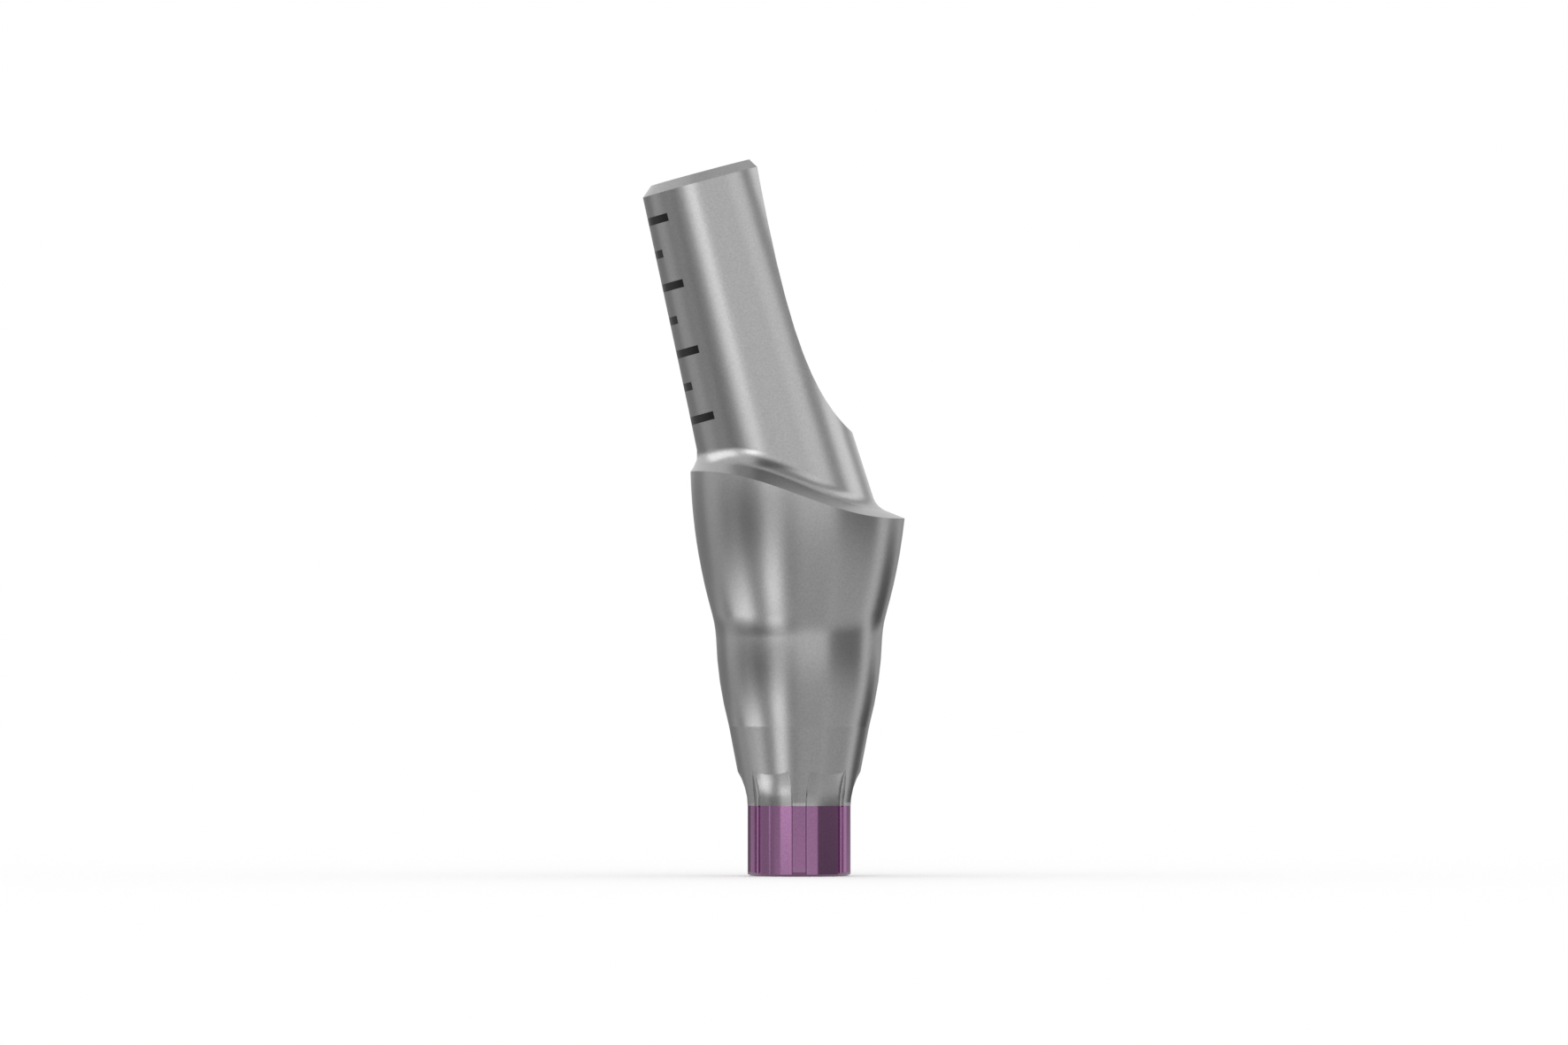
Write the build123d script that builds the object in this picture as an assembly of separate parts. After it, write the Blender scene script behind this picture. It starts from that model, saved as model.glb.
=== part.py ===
from build123d import *
import math
import os

# Angled dental abutment: one piece, turned and milled from titanium alloy.
# Millimetres. +Z runs up the implant axis, the origin lies on that axis at the
# lower end of the index, and the post leans towards -X.

# Index, the lower end that goes into the implant
index_r = 1.15              # outer radius of the ribs
index_core_r = 1.068        # radius of the groove floors
index_straight_h = 1.535    # height where the ribs begin to widen with the cone
index_bevel_w = 0.16
index_bevel_h = 0.09
rib_count = 6
rib_width = 0.27
rib_root_r = 0.035          # fillet between a rib and the groove floor
runout_z = 1.438            # height where a groove begins to run out
cutter_r = 1.392            # of the form cutter, measured at the groove floor
cutter_swing = 75.0         # degrees it swings outwards, which clears the cone

# Neck and emergence profile, turned about the implant axis
cone_angle = 11.0           # half-angle of the sealing cone
cone_top_z = 3.113
waist_r = 1.728
waist_z = 5.175
waist_blend_r = 2.0
rim_r = 2.25
rim_lean = 1.2              # angle between the flare and the axis at the rim
flare_spare = 0.025         # length of the flare over the margin's highest point, cut away

# Scalloped margin, and the shoulder that rises inwards from it to the post
margin_z = 7.877            # height of the margin halfway round
margin_swing = 0.50         # how far it climbs to -X and drops to +X
margin_wave = 1.7           # radians of the sine wave from the axis to the rim
shoulder_lean = 54.0        # rise of the shoulder on the side that the post leans to
shoulder_flank = 29.5       # on the two flanks
shoulder_open = 21.5        # on the side where the screw channel breaks out
shoulder_blend_r = 0.45     # fillet between the shoulder and the post

# Post that carries the crown
post_angle = 15.0
post_pivot_z = 7.055        # where the post's axis leaves the implant axis
post_len = 7.775            # from there to the top face
post_top_r = 1.319          # at the lower edge of the top bevel
post_taper = 2.9            # half-angle
post_bevel_h = 0.194
post_bevel_w = 0.227
post_sunk = 0.8             # length of the post's cone hidden in the neck

# Screw channel along the implant axis
channel_r = 1.10            # clears the screw's head
shank_r = 0.83              # clears its shank
seat_z = 3.0                # upper edge of the conical seat
seat_angle = 45.0           # between the seat and the axis

overshoot = 1.0             # how far the cutting shapes run past the part


def slope(degrees):
    return math.tan(math.radians(degrees))


def turned_body():
    """Index, cone, waist and flare, with stock on top for the shoulder."""
    cone_top_r = index_r + (cone_top_z - index_straight_h) * slope(cone_angle)
    flare_top = margin_z + margin_swing + flare_spare
    stock_top = flare_top + rim_r * slope(shoulder_lean)
    at_rim = (-math.sin(math.radians(rim_lean)), -math.cos(math.radians(rim_lean)))
    outline = Polyline((0, 0), (index_r - index_bevel_w, 0), (index_r, index_bevel_h),
                       (index_r, index_straight_h), (cone_top_r, cone_top_z))
    outline += TangentArc((waist_r, waist_z), (cone_top_r, cone_top_z), tangent=(0, -1))
    outline += TangentArc((rim_r, flare_top), (waist_r, waist_z), tangent=at_rim)
    outline += Polyline((rim_r, flare_top), (rim_r, stock_top), (0, stock_top), (0, 0))
    profile = make_face(outline)
    waist = profile.vertices().sort_by_distance((waist_r, waist_z))[0]
    profile = fillet(waist, radius=waist_blend_r)
    seam_turned = Rot(0, 0, 90)     # keeps the seam away from the ends of the margin
    return seam_turned * revolve(Plane.XZ * profile, axis=Axis.Z)


def shoulder_height(x, y):
    """Height of the shoulder surface, which meets the flare in the margin."""
    core = rim_r / 4        # rounds off the middle of the surface, which the post hides
    reach = math.hypot(x, y, core)
    turn = x / reach
    lean, flank, opened = slope(shoulder_lean), slope(shoulder_flank), slope(shoulder_open)
    rise = flank + ((lean + opened) / 2 - flank) * turn ** 2 - (lean - opened) / 2 * turn
    scallop = margin_z - margin_swing * math.sin(margin_wave * x / rim_r)
    return scallop + (math.hypot(rim_r, core) - reach) * rise


def above_shoulder():
    """All the space over the shoulder surface."""
    steps = 36
    half_span = 1.1 * rim_r         # a little past the rim
    grid = [half_span * (2 * i / steps - 1) for i in range(steps + 1)]
    points = [[(x, y, shoulder_height(x, y)) for y in grid] for x in grid]
    surface = Face.make_surface_from_array_of_points(points, tol=0.003)
    return extrude(surface, amount=post_len + overshoot, dir=(0, 0, 1))


def leaning_post():
    """Tapered post with its top bevel, on its own leaning axis."""
    bevel_z = post_len - post_bevel_h
    root_r = post_top_r + (bevel_z + post_sunk) * slope(post_taper)
    profile = Polygon((0, -post_sunk), (root_r, -post_sunk), (post_top_r, bevel_z),
                      (post_top_r - post_bevel_w, post_len), (0, post_len), align=None)
    post = revolve(Plane.XZ * profile, axis=Axis.Z)
    return Pos(0, 0, post_pivot_z) * Rot(0, -post_angle, 0) * post


def shoulder_blend(body):
    """Fillet all round the foot of the post."""
    foot = [e for e in body.edges().filter_by(GeomType.BSPLINE) if e.center().Z > margin_z][-1:]
    return fillet(foot, radius=shoulder_blend_r)


def index_groove():
    """Path of a form cutter between two ribs: straight up, then swinging out."""
    half_pitch = 180 / rib_count
    meet = rib_width / 2 / math.sin(math.radians(half_pitch))   # where the two walls would meet
    outside = index_r + overshoot
    half_width = (outside - meet) * slope(half_pitch)
    profile = Polygon((meet, 0), (outside, half_width), (outside, -half_width), align=None)
    profile -= Circle(index_core_r)
    roots = profile.vertices().sort_by(Axis.X)[:2]
    profile = Pos(0, 0, runout_z) * fillet(roots, radius=rib_root_r)
    pivot = Axis((index_core_r + cutter_r, 0, runout_z), (0, 1, 0))
    straight = extrude(profile, amount=runout_z + overshoot, dir=(0, 0, -1))
    return straight + revolve(profile, axis=pivot, revolution_arc=cutter_swing)


def screw_channel():
    """Head bore, conical seat and shank bore, all on the implant axis."""
    top = post_pivot_z + post_len + overshoot
    seat_low = seat_z - (channel_r - shank_r) / slope(seat_angle)
    profile = Polygon((0, -overshoot), (shank_r, -overshoot), (shank_r, seat_low),
                      (channel_r, seat_z), (channel_r, top), (0, top), align=None)
    return revolve(Plane.XZ * profile, axis=Axis.Z)


def abutment():
    body = turned_body() - above_shoulder() + leaning_post()
    body = shoulder_blend(body)
    groove = index_groove()
    for i in range(rib_count):
        body -= Rot(0, 0, 360 / rib_count * i) * groove
    return body - screw_channel()


os.makedirs("parts", exist_ok=True)
export_step(abutment(), "parts/abutment.step")
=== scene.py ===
import math

import bpy
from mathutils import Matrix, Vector
from mathutils.geometry import intersect_sphere_sphere_2d


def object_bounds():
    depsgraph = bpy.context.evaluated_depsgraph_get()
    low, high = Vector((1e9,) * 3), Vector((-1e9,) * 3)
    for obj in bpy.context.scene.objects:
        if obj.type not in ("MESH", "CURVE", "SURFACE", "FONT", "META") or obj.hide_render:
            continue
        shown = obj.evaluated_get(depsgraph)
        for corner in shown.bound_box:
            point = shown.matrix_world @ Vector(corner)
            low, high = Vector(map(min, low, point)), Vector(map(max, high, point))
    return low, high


# Angled dental abutment in satin titanium with a violet anodised index.
# Metres, +Z up the implant axis, the post leans towards -X.

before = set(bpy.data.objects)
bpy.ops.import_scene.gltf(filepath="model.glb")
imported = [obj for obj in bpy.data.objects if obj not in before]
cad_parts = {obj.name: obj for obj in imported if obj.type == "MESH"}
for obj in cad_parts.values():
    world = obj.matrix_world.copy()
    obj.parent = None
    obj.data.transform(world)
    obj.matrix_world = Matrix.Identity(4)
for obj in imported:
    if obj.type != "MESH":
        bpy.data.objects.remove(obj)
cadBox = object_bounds()
mm = 0.001
scene = bpy.context.scene


def linear(hexColor):       # sRGB hex to linear RGBA
    parts = [int(hexColor[i:i + 2], 16) / 255 for i in (1, 3, 5)]
    return [c / 12.92 if c < 0.04045 else ((c + 0.055) / 1.055) ** 2.4 for c in parts] + [1]


def addNode(tree, kind, inputs=(), **settings):     # inputs in order, or by name in a dictionary
    node = tree.nodes.new("ShaderNode" + kind)
    for name, value in settings.items():
        setattr(node, name, value)
    sockets = [s for s in node.inputs if s.enabled]
    if isinstance(inputs, dict):
        sockets = [next(s for s in sockets if s.name == name) for name in inputs]
        inputs = inputs.values()
    for socket, value in zip(sockets, inputs):
        if isinstance(value, bpy.types.Node):       # stands for the first of its outputs in use
            value = next(s for s in value.outputs if s.enabled)
        if isinstance(value, bpy.types.NodeSocket):
            tree.links.new(value, socket)
        else:
            socket.default_value = value
    return node


def newMaterial(name):
    material = bpy.data.materials.new(name)
    material.use_nodes = True
    material.node_tree.nodes.clear()
    return material, material.node_tree


# The photograph's frame, level with the middle of the picture and seen from far off
photo = {
    "width": 1772, "height": 1181,      # pixels
    "pxPerMm": 54.6,                    # of the rim's 4.5 mm
    "axisX": 903.06,                    # pixel column of the implant axis
    "baseY": 990.0,                     # pixel row of the index's lower end
    "distance": 0.5,                    # metres
    "near": 0.01, "far": 10.0,          # metres that the camera sees
    "sensor": 36.0,                     # mm
}
camera = bpy.data.objects.new("camera", bpy.data.cameras.new("camera"))
scene.collection.objects.link(camera)
camera.location = ((photo["width"] / 2 - photo["axisX"]) / photo["pxPerMm"] * mm,
                   -photo["distance"],
                   (photo["baseY"] - photo["height"] / 2) / photo["pxPerMm"] * mm)
camera.rotation_euler = (math.radians(90), 0, 0)
viewWidth = photo["width"] / photo["pxPerMm"] * mm
camera.data.sensor_width = photo["sensor"]
camera.data.lens = photo["sensor"] * photo["distance"] / viewWidth
camera.data.clip_start = photo["near"]
camera.data.clip_end = photo["far"]
scene.camera = camera
scene.view_settings.view_transform = "Standard"
print("stage 1: camera")


# Titanium alloy, turned, milled and finely blasted, with an anodised index. Millimetres.
finish = {
    "bare": "#A0A0A0", "bareRough": 0.28,
    "anodised": "#946B90", "anodisedRough": 0.09,
    "anodisedTop": 1.46,        # height of the violet band's upper edge
    "grainSize": 0.035,         # about three times as coarse as real blasting, so that it shows
    "grainDetail": 2.0,
    "grainRange": (0.3, 0.7),   # part of the noise that the tones spread over
    "grainTone": (0.92, 1.08),  # darkest and lightest grain, times the colour
    "grainDepth": 0.0006,
    "grainOnAnodised": 0.1,     # share of the depth on the violet band
    "mark": "#303030",
    "markCount": 7, "markPitch": 0.7, "markWidth": 0.165,
    "markMiddle": 4.955,        # from the pivot up the post's axis
    "markReach": (28.0, 47.0),  # degrees to either side, short and long bars
}

# Sizes of the exact surfaces, as in part.py. The mesh's flat facets would show in the reflections, so
# the material works out the normals of these surfaces and uses them where the facets stand for them.
size = {
    "indexR": 1.15, "grooveR": 1.068, "indexH": 1.535, "channelR": 1.10,
    "coneAngle": 11.0, "coneTopZ": 3.113,
    "waistR": 1.728, "waistZ": 5.175, "waistBlendR": 2.0,
    "rimR": 2.25, "rimLean": 1.2, "flareSpare": 0.025,      # above the margin's highest point, cut away
    "marginZ": 7.877, "marginSwing": 0.50, "marginWave": 1.7,
    "shoulderLean": 54.0, "shoulderFlank": 29.5, "shoulderOpen": 21.5, "shoulderBlendR": 0.45,
    "postPivotZ": 7.055, "postAngle": 15.0, "postTaper": 2.9,
    "postTopR": 1.319, "postTopZ": 7.581,       # at the top bevel's lower edge, up the post's axis
}

# How far the facets may lie inside and outside their surfaces, the least cosine between their normals
# and the exact ones, and what else tells the surfaces apart
facetFit = {
    "cone": (-0.02, 0.002), "groove": (-0.012, 0.002),
    "post": (-0.04, 0.012), "shoulder": (-0.012, 0.25), "channel": 0.002,
    "neckInnerR": 1.38, "neckInnerGrowth": 0.155,       # just inside the neck, and its growth per mm up
    "postLow": 0.3,             # hidden in the shoulder below this height
    "raggedX": -0.1, "raggedZ": 1.7,        # the channel's ragged edge in the post starts here
    "turnedCosine": 0.8, "crownCosine": 0.9, "raggedCosine": 0.0,
    "crease": 0.001,            # height over which the normal turns at a crease
    "probe": 0.02,              # step to the side over which the shoulder's slope is taken
}

# Grey satin with soft long highlights, and a glossier violet index that shows each rib's edges
metal, tree = newMaterial("satin_titanium_anodised_index")
inMm = addNode(tree, "VectorMath", [addNode(tree, "TexCoord").outputs["Object"], 1 / mm], operation="SCALE")
height = addNode(tree, "SeparateXYZ", [inMm]).outputs["Z"]
facets = addNode(tree, "NewGeometry")


def between(value, low, high):      # 1 from low to high
    return addNode(tree, "Math", [value, (low + high) / 2, (high - low) / 2], operation="COMPARE")


def fromAxis(place):        # distance from the Z axis
    flat = addNode(tree, "VectorMath", [place, (1, 1, 0)], operation="MULTIPLY")
    return addNode(tree, "VectorMath", [flat], operation="LENGTH")


def roundNormal(place, tilt):       # outward normal of a surface turned about Z, from its z part
    flat = addNode(tree, "VectorMath", [place, (1, 1, 0)], operation="MULTIPLY")
    outward = addNode(tree, "VectorMath", [flat], operation="NORMALIZE")
    square = addNode(tree, "Math", [tilt, tilt], operation="MULTIPLY")
    rest = addNode(tree, "Math", [1.0, square], operation="SUBTRACT")
    level = addNode(tree, "Math", [rest], operation="SQRT")
    outward = addNode(tree, "VectorMath", [outward, level], operation="SCALE")
    return addNode(tree, "VectorMath", [outward, addNode(tree, "CombineXYZ", {"Z": tilt})], operation="ADD")


def agreeing(facetNormal, exactNormal, cosine):     # 1 where the two point nearly the same way
    product = addNode(tree, "VectorMath", [facetNormal, exactNormal], operation="DOT_PRODUCT")
    return addNode(tree, "Math", [product, cosine], operation="GREATER_THAN")


def arcCircle(start, outward, end):     # middle and radius, from the normal at its start
    chord = end - start
    arcR = -chord.length_squared / (2 * chord.dot(outward))
    return start - outward * arcR, arcR


def onArc(middle, arcR, z):     # a height on the arc, with the z part of the normal there
    return z, (z - middle.y) / arcR


# Outline of the index, cone, neck and flare, as heights and z parts of the normal. From one height to the
# next the z part changes evenly, because each piece of the outline is a line or an arc.
coneAngle = math.radians(size["coneAngle"])
rimLean = math.radians(size["rimLean"])
flareTopZ = size["marginZ"] + size["marginSwing"] + size["flareSpare"]
coneTopR = size["indexR"] + (size["coneTopZ"] - size["indexH"]) * math.tan(coneAngle)
waist = Vector((size["waistR"], size["waistZ"]))
neck = arcCircle(waist, Vector((1, 0)), Vector((coneTopR, size["coneTopZ"])))
flare = arcCircle(Vector((size["rimR"], flareTopZ)), Vector((math.cos(rimLean), -math.sin(rimLean))), waist)
blendR = size["waistBlendR"]
blend = max(intersect_sphere_sphere_2d(neck[0], neck[1] + blendR, flare[0], flare[1] + blendR),
            key=lambda middle: middle.x)        # the one outside the waist
touching = [middle.lerp(blend, arcR / (arcR + blendR)).y for middle, arcR in (neck, flare)]
crease = facetFit["crease"]
outline = ((0, 0), (size["indexH"], 0),
           (size["indexH"] + crease, -math.sin(coneAngle)), (size["coneTopZ"], -math.sin(coneAngle)),
           onArc(*neck, size["coneTopZ"] + crease), onArc(*neck, touching[0]),
           onArc(*flare, touching[1]), onArc(*flare, flareTopZ))
ramp = addNode(tree, "ValToRGB", [addNode(tree, "Math", [height, flareTopZ], operation="DIVIDE")])
stops = ramp.color_ramp.elements
for z, tilt in outline[1:-1]:
    stops.new(z / flareTopZ)
for stop, (z, tilt) in zip(stops, outline):
    stop.color = [-tilt] * 3 + [1]      # a colour can't be negative
turnedNormal = roundNormal(inMm, addNode(tree, "Math", [ramp, -1.0], operation="MULTIPLY"))

# Where the facets stand for the index, the sealing cone or the neck
radius = fromAxis(inMm)
overIndex = addNode(tree, "Math", [height, size["indexH"]], operation="SUBTRACT")
overIndex = addNode(tree, "Math", [overIndex, 0.0], operation="MAXIMUM")
coneR = addNode(tree, "Math", [overIndex, math.tan(coneAngle), size["indexR"]], operation="MULTIPLY_ADD")
onCone = between(addNode(tree, "Math", [radius, coneR], operation="SUBTRACT"), *facetFit["cone"])
inBand = addNode(tree, "Math", [height, finish["anodisedTop"]], operation="LESS_THAN")
onGroove = between(radius, *(size["grooveR"] + depth for depth in facetFit["groove"]))
onGroove = addNode(tree, "Math", [onGroove, inBand], operation="MULTIPLY")
onLow = addNode(tree, "Math", [onCone, onGroove], operation="MAXIMUM")
underNeck = addNode(tree, "Math", [height, size["coneTopZ"]], operation="LESS_THAN")
onLow = addNode(tree, "Math", [onLow, underNeck], operation="MULTIPLY")
overCone = addNode(tree, "Math", [height, size["coneTopZ"]], operation="SUBTRACT")
innerR = addNode(tree, "Math", [overCone, facetFit["neckInnerGrowth"], facetFit["neckInnerR"]],
                 operation="MULTIPLY_ADD")
onNeck = addNode(tree, "Math", [radius, innerR], operation="GREATER_THAN")
onNeck = addNode(tree, "Math", [onNeck, between(height, size["coneTopZ"], flareTopZ)], operation="MULTIPLY")
onTurned = addNode(tree, "Math", [onLow, onNeck], operation="MAXIMUM")
agreed = agreeing(facets.outputs["Normal"], turnedNormal, facetFit["turnedCosine"])
onTurned = addNode(tree, "Math", [onTurned, agreed], operation="MULTIPLY")

# Post, in a frame that stands upright on its pivot
lean = math.radians(size["postAngle"])
taper = math.radians(size["postTaper"])
pivot = (0, 0, size["postPivotZ"])
upright = addNode(tree, "VectorRotate", {"Vector": inMm, "Center": pivot, "Angle": lean},
                  rotation_type="Y_AXIS")
upright = addNode(tree, "VectorMath", [upright, pivot], operation="SUBTRACT")
along = addNode(tree, "SeparateXYZ", [upright])
postNormal = addNode(tree, "VectorRotate", {"Vector": roundNormal(upright, math.sin(taper)), "Angle": -lean},
                     rotation_type="Y_AXIS")
pivotR = size["postTopR"] + size["postTopZ"] * math.tan(taper)
postR = addNode(tree, "Math", [along.outputs["Z"], -math.tan(taper), pivotR], operation="MULTIPLY_ADD")
offPost = addNode(tree, "Math", [fromAxis(upright), postR], operation="SUBTRACT")
nearPost = addNode(tree, "Math", [between(offPost, *facetFit["post"]),
                                  between(along.outputs["Z"], facetFit["postLow"], size["postTopZ"])],
                   operation="MULTIPLY")

# Shoulder, from its height at the shaded point and a step to either side
leanRise, flankRise, openRise = (math.tan(math.radians(size[name]))
                                 for name in ("shoulderLean", "shoulderFlank", "shoulderOpen"))
core = size["rimR"] / 4         # rounds off the middle of the surface


def shoulderHeight(x, y):       # as in part.py, at the shaded point moved by x and y
    spot = addNode(tree, "VectorMath", [inMm, (1, 1, 0), (x, y, core)], operation="MULTIPLY_ADD")
    reach = addNode(tree, "VectorMath", [spot], operation="LENGTH")
    spotX = addNode(tree, "SeparateXYZ", [spot]).outputs["X"]
    turn = addNode(tree, "Math", [spotX, reach], operation="DIVIDE")
    rise = addNode(tree, "Math", [turn, (leanRise + openRise) / 2 - flankRise, (openRise - leanRise) / 2],
                   operation="MULTIPLY_ADD")
    rise = addNode(tree, "Math", [rise, turn, flankRise], operation="MULTIPLY_ADD")
    wave = addNode(tree, "Math", [spotX, size["marginWave"] / size["rimR"]], operation="MULTIPLY")
    wave = addNode(tree, "Math", [wave], operation="SINE")
    margin = addNode(tree, "Math", [wave, -size["marginSwing"], size["marginZ"]], operation="MULTIPLY_ADD")
    inwards = addNode(tree, "Math", [math.hypot(size["rimR"], core), reach], operation="SUBTRACT")
    return addNode(tree, "Math", [inwards, rise, margin], operation="MULTIPLY_ADD")


probe = facetFit["probe"]
ground = shoulderHeight(0, 0)
slope = addNode(tree, "CombineXYZ", [
    addNode(tree, "Math", [ground, shoulderHeight(probe, 0)], operation="SUBTRACT"),
    addNode(tree, "Math", [ground, shoulderHeight(0, probe)], operation="SUBTRACT"), probe])
shoulderNormal = addNode(tree, "VectorMath", [slope], operation="NORMALIZE")
shoulderTilt = addNode(tree, "SeparateXYZ", [shoulderNormal]).outputs["Z"]
offShoulder = addNode(tree, "Math", [height, ground], operation="SUBTRACT")
offShoulder = addNode(tree, "Math", [offShoulder, shoulderTilt], operation="MULTIPLY")
outsidePost = addNode(tree, "Math", [offPost, facetFit["shoulder"][0]], operation="GREATER_THAN")
outsideChannel = addNode(tree, "Math", [radius, size["channelR"] + facetFit["channel"]],
                         operation="GREATER_THAN")
nearShoulder = addNode(tree, "Math", [outsidePost, outsideChannel], operation="MULTIPLY")
nearShoulder = addNode(tree, "Math", [nearShoulder, between(offShoulder, *facetFit["shoulder"])],
                       operation="MULTIPLY")

# The fillet between post and shoulder is the path of a ball. Seen from the shaded point, its middle lies
# this far outwards along either normal. That gives both normals' shares in the fillet's own. Where the
# ball doesn't touch, on the post or on the shoulder, only that surface's normal is left.
outFromPost = addNode(tree, "Math", [offPost, -math.cos(taper), size["shoulderBlendR"]],
                      operation="MULTIPLY_ADD")
outFromShoulder = addNode(tree, "Math", [size["shoulderBlendR"], offShoulder], operation="SUBTRACT")
cosine = addNode(tree, "VectorMath", [postNormal, shoulderNormal], operation="DOT_PRODUCT")
shares = []
for normal, own, other in ((postNormal, outFromPost, outFromShoulder),
                           (shoulderNormal, outFromShoulder, outFromPost)):
    share = addNode(tree, "Math", [cosine, other], operation="MULTIPLY")
    share = addNode(tree, "Math", [own, share], operation="SUBTRACT")
    share = addNode(tree, "Math", [share, 0.0], operation="MAXIMUM")
    shares.append(addNode(tree, "VectorMath", [normal, share], operation="SCALE"))
crownNormal = addNode(tree, "VectorMath", shares, operation="ADD")
crownNormal = addNode(tree, "VectorMath", [crownNormal], operation="NORMALIZE")
onCrown = addNode(tree, "Math", [nearPost, nearShoulder], operation="MAXIMUM")
agreed = agreeing(facets.outputs["Normal"], crownNormal, facetFit["crownCosine"])
onCrown = addNode(tree, "Math", [onCrown, agreed], operation="MULTIPLY")

# Beside the channel the facets' own normals are ragged, and the post's normal holds up to the edge
beside = addNode(tree, "Math", [along.outputs["X"], facetFit["raggedX"]], operation="GREATER_THAN")
over = addNode(tree, "Math", [along.outputs["Z"], facetFit["raggedZ"]], operation="GREATER_THAN")
onRagged = agreeing(facets.outputs["True Normal"], postNormal, facetFit["raggedCosine"])
for mask in (nearPost, beside, over):
    onRagged = addNode(tree, "Math", [onRagged, mask], operation="MULTIPLY")
onCrown = addNode(tree, "Math", [onCrown, onRagged], operation="MAXIMUM")
smooth = addNode(tree, "Mix", [onTurned, facets.outputs["Normal"], turnedNormal], data_type="VECTOR")
smooth = addNode(tree, "Mix", [onCrown, smooth, crownNormal], data_type="VECTOR")

# Laser-marked graduation bars up the side that the post leans to
lowest = finish["markMiddle"] - finish["markPitch"] * (finish["markCount"] - 1) / 2
shortReach, longReach = (math.radians(reach) for reach in finish["markReach"])
step = addNode(tree, "Math", [along.outputs["Z"], lowest], operation="SUBTRACT")
step = addNode(tree, "Math", [step, finish["markPitch"]], operation="DIVIDE")
number = addNode(tree, "Math", [step], operation="ROUND")       # of the nearest bar, from 0
inBar = addNode(tree, "Math", [step, number, finish["markWidth"] / finish["markPitch"] / 2],
                operation="COMPARE")
odd = addNode(tree, "Math", [number, 2.0], operation="FLOORED_MODULO")
reach = addNode(tree, "MapRange", {"Value": odd, "To Min": longReach, "To Max": shortReach})
aside = addNode(tree, "Math", [along.outputs["Y"]], operation="ABSOLUTE")
ahead = addNode(tree, "Math", [along.outputs["X"], -1.0], operation="MULTIPLY")
turn = addNode(tree, "Math", [aside, ahead], operation="ARCTAN2")
inMark = addNode(tree, "Math", [turn, reach], operation="LESS_THAN")
for mask in (inBar, between(number, -0.5, finish["markCount"] - 0.5), nearPost):
    inMark = addNode(tree, "Math", [inMark, mask], operation="MULTIPLY")

# Colours, grain and gloss
grain = addNode(tree, "TexNoise", {"Vector": inMm, "Scale": 1 / finish["grainSize"],
                                   "Detail": finish["grainDetail"]})
tone = addNode(tree, "MapRange", [grain, *finish["grainRange"], *finish["grainTone"]])
bare = addNode(tree, "Mix", [inMark, linear(finish["bare"]), linear(finish["mark"])], data_type="RGBA")
color = addNode(tree, "Mix", [inBand, bare, linear(finish["anodised"])], data_type="RGBA")
grainy = addNode(tree, "VectorMath", [color, tone], operation="SCALE")
rough = addNode(tree, "MapRange", {"Value": inBand, "To Min": finish["bareRough"],
                                   "To Max": finish["anodisedRough"]})
strength = addNode(tree, "MapRange", {"Value": inBand, "To Min": 1.0, "To Max": finish["grainOnAnodised"]})
bump = addNode(tree, "Bump", {"Height": grain, "Distance": finish["grainDepth"] * mm, "Strength": strength,
                              "Normal": smooth})
shader = addNode(tree, "BsdfPrincipled", {"Base Color": grainy, "Metallic": 1.0, "Roughness": rough,
                                          "Normal": bump})
addNode(tree, "OutputMaterial", [shader])

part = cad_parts["abutment"]
part.data.materials.clear()
part.data.materials.append(metal)
print("stage 2: titanium")


# White studio, with cards round the part that only its metal mirrors
studio = {
    "white": "#FFFFFF", "brightness": 1.0,
    "middle": Vector((0, 0, cadBox[1][2] / 2)),     # of the part's height
    "cardAway": 0.25, "cardStep": 0.001,            # metres, to the first card and on to the next
    "cardCell": 2.0, "fewestCells": 8,              # degrees, and cells to a side
}
world = bpy.data.worlds.new("studio")
scene.world = world
world.use_nodes = True
world.node_tree.nodes.clear()
white = addNode(world.node_tree, "Background", [linear(studio["white"]), studio["brightness"]])
addNode(world.node_tree, "OutputWorld", [white])


def softEdge(x, low, high, fade):       # 1 well inside low..high, 0 at both ends
    t = max(0.0, min(1.0, (x - low) / fade, (high - x) / fade))
    return t * t * (3 - 2 * t)


# Azimuth 0 is the camera's side and 90 is +X
def addCard(name, layer, azimuths, elevations, brightness, fade):
    columns, rows = (max(studio["fewestCells"], round((high - low) / studio["cardCell"]))
                     for low, high in (azimuths, elevations))
    away = studio["cardAway"] + layer * studio["cardStep"]
    points, faces, cover = [], [], []
    for i in range(columns + 1):
        azimuth = azimuths[0] + (azimuths[1] - azimuths[0]) * i / columns
        a = math.radians(azimuth)
        for j in range(rows + 1):
            elevation = elevations[0] + (elevations[1] - elevations[0]) * j / rows
            e = math.radians(max(-90, min(90, elevation)))      # whole at a pole
            out = Vector((math.sin(a) * math.cos(e), -math.cos(a) * math.cos(e), math.sin(e)))
            points.append(studio["middle"] + out * away)
            cover.append(softEdge(azimuth, *azimuths, fade) * softEdge(elevation, *elevations, fade))
            if i and j:
                k = i * (rows + 1) + j
                faces.append((k, k - 1, k - rows - 2, k - rows - 1))
    mesh = bpy.data.meshes.new(name)
    mesh.from_pydata(points, [], faces)
    mesh.attributes.new("cover", "FLOAT", "POINT").data.foreach_set("value", cover)
    paper, tree = newMaterial(name)     # lit paper, an even patch of light with soft edges
    glow = addNode(tree, "Emission", [linear(studio["white"]), brightness])
    clear = addNode(tree, "BsdfTransparent")
    edge = addNode(tree, "Attribute", attribute_name="cover").outputs["Fac"]
    addNode(tree, "OutputMaterial", [addNode(tree, "MixShader", [edge, clear, glow])])
    mesh.materials.append(paper)
    card = bpy.data.objects.new(name, mesh)
    scene.collection.objects.link(card)
    card.visible_camera = card.visible_diffuse = card.visible_shadow = False


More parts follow.
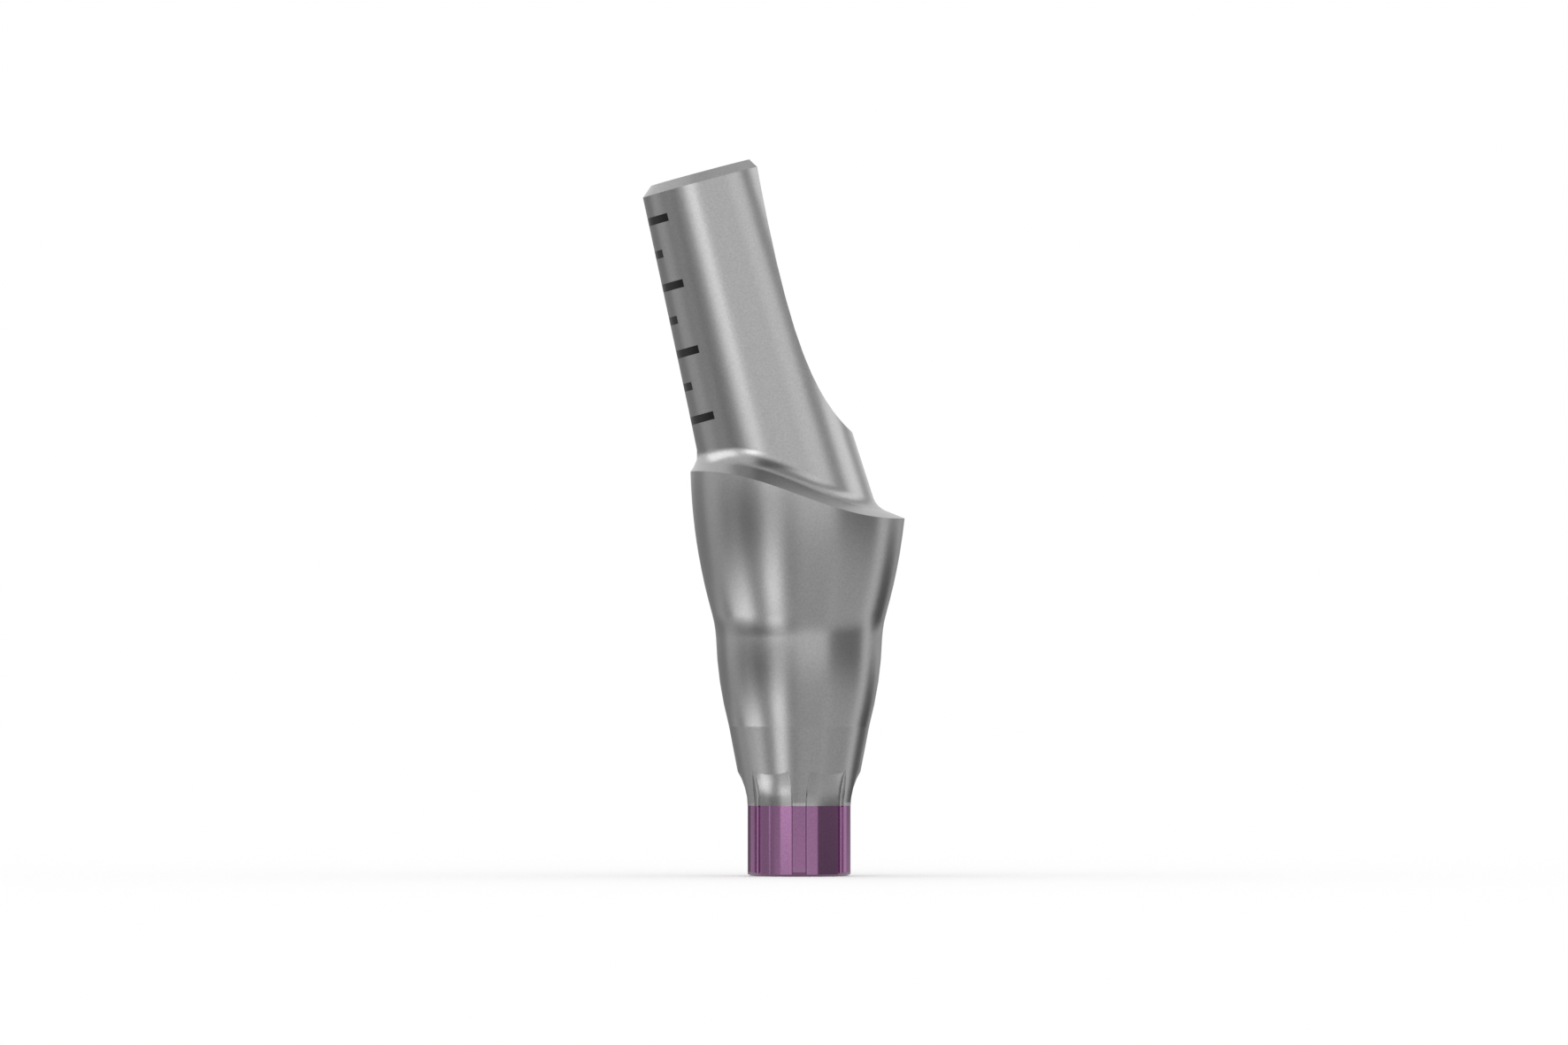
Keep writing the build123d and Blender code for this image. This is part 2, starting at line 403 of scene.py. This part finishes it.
# Azimuths and elevations in degrees, brightness against the white of the room, and the width of the soft
# edge in degrees. The first ones stand in front. The places were laid one by one. The brightness follows a
# solver's fit to the photograph, rounded or moved.
cards = {
    "level_back_left": ((-150, -119), (-3, 2), 0.25, 1),
    "tube_left": ((-71.5, -67.5), (-3, 2), 1.4, 1),
    "tube_left_foot": ((-73, -68), (-20, -3), 0.3, 1),
    "level_left": ((-119, -43), (-3, 2), 0.57, 1),
    "level_key": ((-43, -17), (-3, 2), 1.75, 1),
    "level_front": ((-17, 18), (-3, 2), 0.7, 1),
    "level_front_right": ((18, 41), (-3, 2), 0.82, 1),
    "level_right": ((41, 101), (-3, 2), 0.38, 1),
    "level_right_strip": ((101, 116), (-3, 2), 1.05, 1),
    "level_back_right": ((116, 158), (-3, 2), 0.42, 1),
    "card_left_high": ((-126, -58), (6, 36), 2.4, 4),
    "card_key": ((-45, -20), (0, 24), 3.6, 4),
    "card_key_foot": ((-44, -18), (-10, 0), 0.35, 3),
    "card_left_dark": ((-74, -38), (-19, -3), 0.0, 3),
    "card_left_dusk": ((-104, -50), (-24, 6), 0.18, 16),
    "card_left_mid": ((-122, -82), (-18, -3), 0.58, 3),
    "card_back_left": ((-170, -118), (-16, 2), 0.3, 6),
    "card_back_left_low": ((-150, -104), (-44, -16), 0.08, 4),
    "card_left_low": ((-104, -66), (-45, -19), 2.25, 4),
    "card_left_low_gap": ((-66, -45), (-60, -19), 0.42, 3),
    "card_left_low_strip": ((-45, -22), (-34, -18), 2.5, 4),
    "card_left_low_foot": ((-45, -22), (-60, -34), 1.2, 4),
    "card_front_gap": ((-20, -2), (-32, -6), 0.38, 3),
    "card_front_step": ((-20, 41), (-12, -2), 1.35, 3),
    "card_front_up": ((-20, 36), (2, 28), 1.18, 4),
    "card_right_dark": ((41, 100), (-14, 9), 0.15, 3),
    "card_right_strip": ((100, 116), (-40, 3), 1.12, 3),
    "card_back_right_dark": ((116, 152), (-36, -4), 0.07, 3),
    "card_front_low": ((-22, 45), (-60, -10), 0.66, 4),
    "card_right_low": ((45, 100), (-60, -10), 0.72, 4),
    "card_right_high": ((36, 70), (9, 46), 1.47, 4),
    "card_right_strip_high": ((70, 95), (9, 48), 0.51, 4),
    "card_back_right_high": ((93, 128), (4, 46), 1.7, 5),
    "card_back_right_gap": ((124, 152), (2, 46), 0.62, 6),
    "card_back_high": ((152, 190), (4, 30), 1.0, 6),
    "card_back_dark": ((138, 186), (30, 48), 0.62, 6),
    "card_top_left": ((-150, -70), (58, 86), 0.75, 6),
    "card_back_top": ((110, 206), (44, 92), 0.82, 8),
    "card_front_top": ((-30, 34), (26, 88), 0.17, 11),
    "card_right_top": ((24, 96), (44, 78), 0.5, 5),
    "card_back_low": ((150, 216), (-70, 4), 0.44, 6),
    "card_below": ((-190, 190), (-100, -56), 0.2, 6),
    "card_above": ((-190, 190), (66, 100), 0.95, 6),
}
for layer, (name, settings) in enumerate(cards.items()):
    addCard(name, layer, *settings)

# Floor, which carries the part's shadow
floorHalf = 2.0     # metres
corners = [(x * floorHalf, y * floorHalf, 0) for x, y in ((-1, -1), (1, -1), (1, 1), (-1, 1))]
floorMesh = bpy.data.meshes.new("floor")
floorMesh.from_pydata(corners, [], [(0, 1, 2, 3)])
floor = bpy.data.objects.new("floor", floorMesh)
scene.collection.objects.link(floor)
paint, tree = newMaterial("matt_white_paint")       # plain white without a mirror image
matt = addNode(tree, "BsdfDiffuse", [linear(studio["white"])])
addNode(tree, "OutputMaterial", [matt])
floorMesh.materials.append(paint)
floor.visible_glossy = floor.visible_shadow = False     # the metal sees the room through it
print("stage 3: light and floor")
